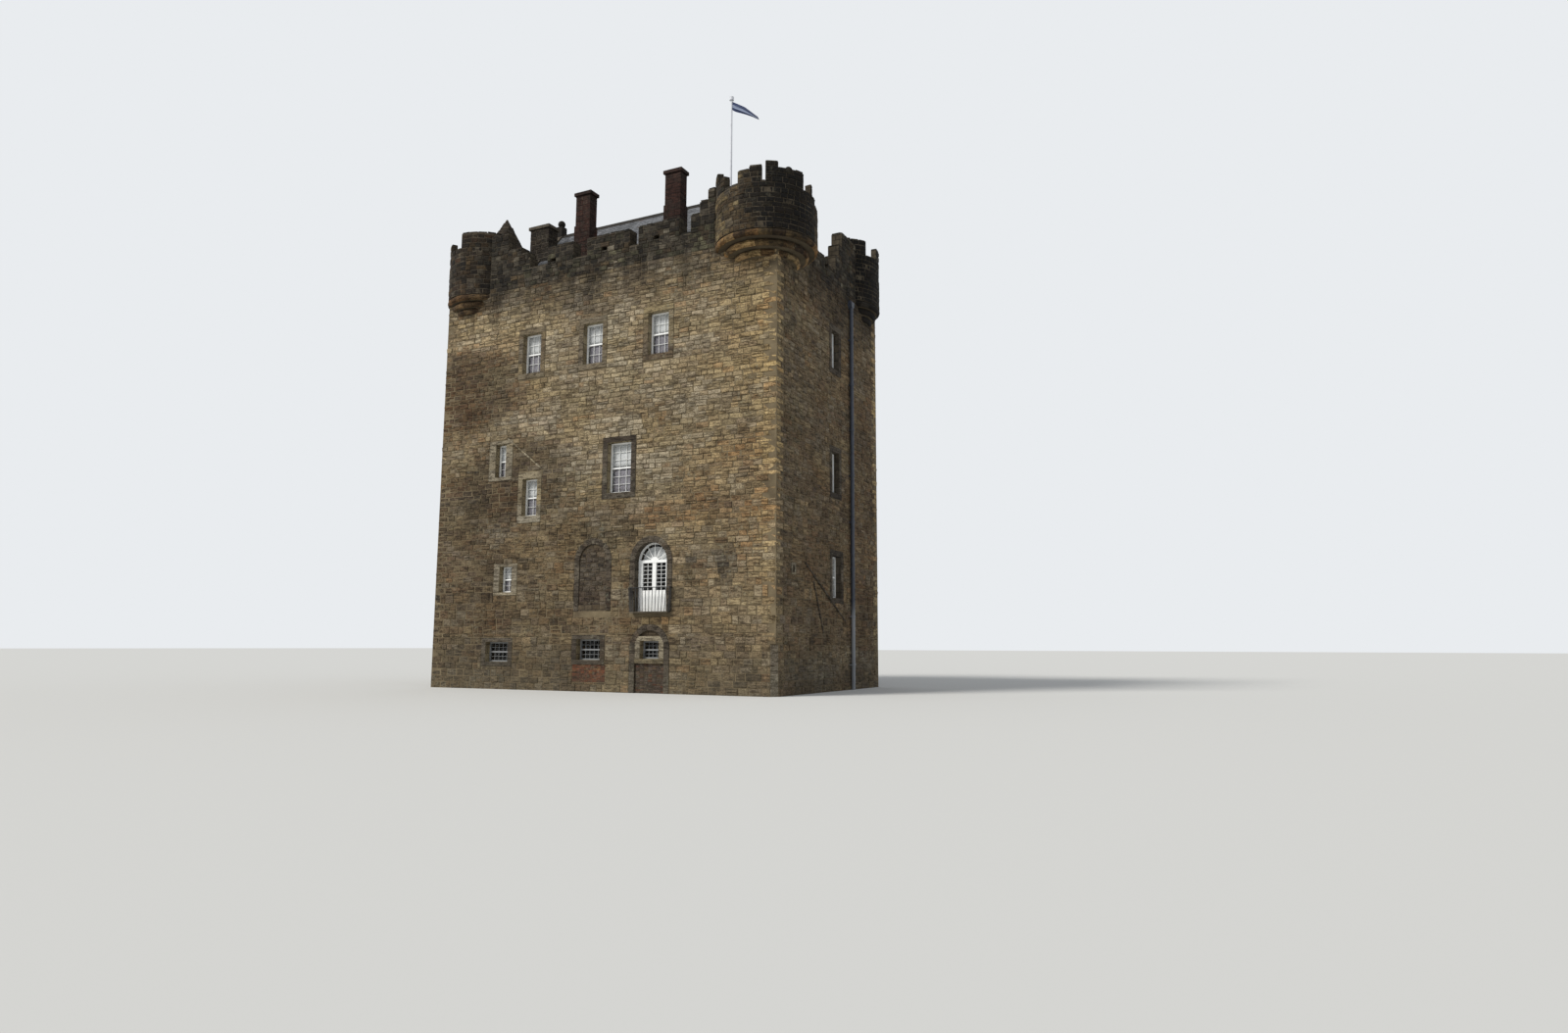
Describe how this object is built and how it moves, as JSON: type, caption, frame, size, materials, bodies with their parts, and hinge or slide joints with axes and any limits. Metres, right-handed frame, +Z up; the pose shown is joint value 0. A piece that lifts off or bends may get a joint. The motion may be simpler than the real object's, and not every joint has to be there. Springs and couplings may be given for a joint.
{
  "type": "tower keep",
  "caption": "Oblong stone tower keep with crenellated parapet, corner rounds on corbelling, slated cap-house, chimneys, sash windows and a small iron balcony.",
  "frame": {"origin": "ground level, centre of the oblong walls' plan, on the underside of the ground floor slab", "axes": "+Z up; +X along the long front, towards the great corner round; -Y out of the long front with the balcony"},
  "size_m": [20.0599, 12.8599, 26.9],
  "materials": {
    "rubble_stone": "coursed rubble, weathered",
    "weathered_stone": "blackened rubble",
    "dressed_stone": "dressed, weathered",
    "red_stone": "red sandstone, sooty",
    "roof_slate": "split slate, matt",
    "floor_timber": "sawn boards",
    "door_timber": "old planks, oiled",
    "white_paint": "white gloss paint",
    "window_glass": "clear",
    "black_iron": "black painted",
    "blue_iron": "blue-grey paint",
    "flag_cloth": "woven cloth"
  },
  "bodies": {
    "root": {"ground_floor": "dressed_stone", "first_floor": "dressed_stone", "second_floor": "floor_timber", "third_floor": "floor_timber", "attic_floor": "floor_timber", "front_wall": "rubble_stone", "right_wall": "rubble_stone", "back_wall": "rubble_stone", "left_wall": "rubble_stone", "wall_walk": "dressed_stone", "front_parapet": "weathered_stone", "right_parapet": "weathered_stone", "back_parapet": "weathered_stone", "left_parapet": "weathered_stone", "front_right_round": "weathered_stone", "front_left_round": "weathered_stone", "back_right_round": "weathered_stone", "back_left_round": "weathered_stone", "corbelling": "dressed_stone", "left_gable": "dressed_stone", "right_gable": "dressed_stone", "cap_house_walls": "dressed_stone", "slate_roof": "roof_slate", "ridge_capping": "roof_slate", "ball_finials": "dressed_stone", "stone_stack": "dressed_stone", "chimneys": "red_stone", "stair_turret": "dressed_stone", "stair_turret_roof": "dressed_stone", "flagpole": "white_paint", "flag": "flag_cloth", "front_margins": "dressed_stone", "right_margins": "dressed_stone", "back_margins": "dressed_stone", "left_margins": "dressed_stone", "window_sashes": "white_paint", "window_glass": "window_glass", "balcony_surround": "dressed_stone", "balcony_door": "white_paint", "balcony_slab": "dressed_stone", "balcony_railing": "black_iron", "blocked_doorway": "dressed_stone", "blocked_window": "dressed_stone", "downpipe": "blue_iron", "entrance_door": "door_timber"}
  },
  "joints": []
}
